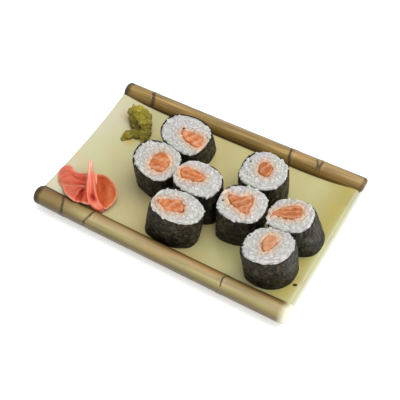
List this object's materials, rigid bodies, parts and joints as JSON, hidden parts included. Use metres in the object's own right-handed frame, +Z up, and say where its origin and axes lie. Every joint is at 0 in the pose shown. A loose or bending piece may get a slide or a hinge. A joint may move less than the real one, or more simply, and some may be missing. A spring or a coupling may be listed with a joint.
{
  "type": "maki sushi roll plate",
  "caption": "Salmon maki rolls standing cut face up on an oblong glazed sushi plate with bamboo-shaped rails, beside a lump of wasabi and a heap of pickled ginger.",
  "frame": {"origin": "under the middle of the plate, on the surface that its foot ring stands on", "axes": "+X runs along the bamboo-shaped rails, from the end with the wasabi and ginger to the other, +Y from the front rail to the back rail, and +Z up"},
  "size_m": [0.182, 0.1168, 0.0382],
  "materials": {
    "glaze": "glossy cream-yellow glaze, tan and brown on the bamboo-shaped rails",
    "nori": "toasted seaweed sheet, near black, slightly glossy",
    "rice": "pressed cooked rice, moist",
    "salmon": "raw salmon, moist, with pale bands",
    "wasabi": "rough damp paste",
    "ginger": "thin wet pink slices"
  },
  "bodies": {
    "root": {"plate": "glaze", "nori_1": "nori", "rice_1": "rice", "salmon_1": "salmon", "nori_2": "nori", "rice_2": "rice", "salmon_2": "salmon", "nori_3": "nori", "rice_3": "rice", "salmon_3": "salmon", "nori_4": "nori", "rice_4": "rice", "salmon_4": "salmon", "nori_5": "nori", "rice_5": "rice", "salmon_5": "salmon", "nori_6": "nori", "rice_6": "rice", "salmon_6": "salmon", "nori_7": "nori", "rice_7": "rice", "salmon_7": "salmon", "nori_8": "nori", "rice_8": "rice", "salmon_8": "salmon", "wasabi": "wasabi", "ginger_fan_1": "ginger", "ginger_fan_2": "ginger", "ginger_fan_3": "ginger", "ginger_cup": "ginger", "ginger_trough": "ginger"}
  },
  "joints": []
}
